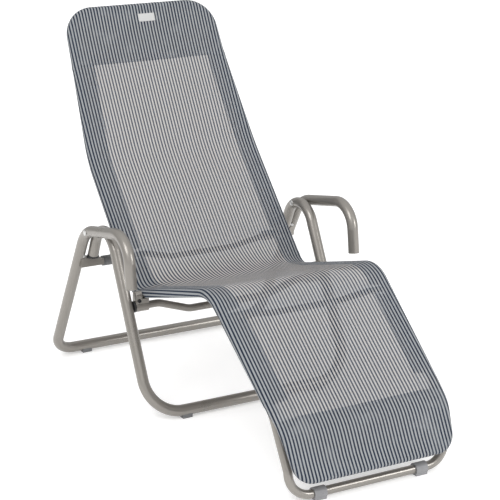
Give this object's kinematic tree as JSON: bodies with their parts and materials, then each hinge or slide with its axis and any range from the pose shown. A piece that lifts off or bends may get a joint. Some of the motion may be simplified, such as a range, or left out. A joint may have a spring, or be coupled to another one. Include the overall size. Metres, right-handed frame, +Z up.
{
  "type": "chaise lounge",
  "caption": "Reclining garden chaise lounge: a striped mesh sling on a bent tube lying frame, pivoted between a folding front stand and a rear stand with curved armrests.",
  "frame": {"origin": "on the floor, under the middle of the bounding box of the part as it stands in use", "axes": "+Z up, +X towards the right armrest as seen from the feet end looking at the back, +Y from the feet towards the head"},
  "size_m": [0.706, 1.297, 0.9717],
  "materials": {
    "silver_paint": "satin silver grey powder coat",
    "silver_plastic": "satin",
    "black_plastic": "matt",
    "zinc": "zinc plated",
    "grey_rubber": "matt",
    "grey_plastic": "satin",
    "black_steel": "black oxide",
    "cast_bracket": "satin silver",
    "striped_mesh": "woven coated mesh, narrow dark slate and pale grey-blue stripes",
    "white_label": "plain woven label"
  },
  "bodies": {
    "front_stand": {"front_stand": "silver_paint", "tail_plug_left": "black_plastic", "tail_plug_right": "black_plastic", "front_foot_left": "grey_rubber", "front_foot_right": "grey_rubber", "pivot_bolt_left": "black_steel", "pivot_bolt_right": "black_steel", "pivot_washer_left": "black_plastic", "pivot_washer_right": "black_plastic"},
    "rear_stand": {"rear_stand": "silver_paint", "armrest_plug_left": "silver_plastic", "armrest_plug_right": "silver_plastic", "fold_pin_left": "zinc", "fold_pin_right": "zinc", "fold_washer_left": "black_plastic", "fold_washer_right": "black_plastic", "stop_arm_left": "silver_paint", "stop_arm_right": "silver_paint", "stop_rivet_left": "zinc", "stop_rivet_right": "zinc", "stop_bumper_left": "grey_rubber", "stop_bumper_right": "grey_rubber", "rear_foot_left": "grey_rubber", "rear_foot_right": "grey_rubber"},
    "lounger": {"pivot_bracket_left": "cast_bracket", "pivot_bracket_right": "cast_bracket", "bracket_screw_left": "black_steel", "bracket_screw_right": "black_steel", "back_frame": "silver_paint", "leg_frame": "silver_paint", "frame_splice_left": "zinc", "frame_splice_right": "zinc", "foot_bow": "silver_paint", "seat_crossbar": "silver_paint", "lumbar_crossbar": "silver_paint", "knee_crossbar": "silver_paint", "foot_clip_left": "grey_plastic", "foot_clip_right": "grey_plastic", "cover": "striped_mesh", "name_label": "white_label"}
  },
  "joints": [
    {"name": "fold", "type": "hinge", "parent": "front_stand", "child": "rear_stand", "pos_m": [0, 0.2455, 0.443], "axis": [1, 0, 0], "range_deg": [-36, 0]},
    {"name": "recline", "type": "hinge", "parent": "front_stand", "child": "lounger", "pos_m": [0, 0.0895, 0.274], "axis": [-1, 0, 0], "range_deg": [0, 16]}
  ]
}
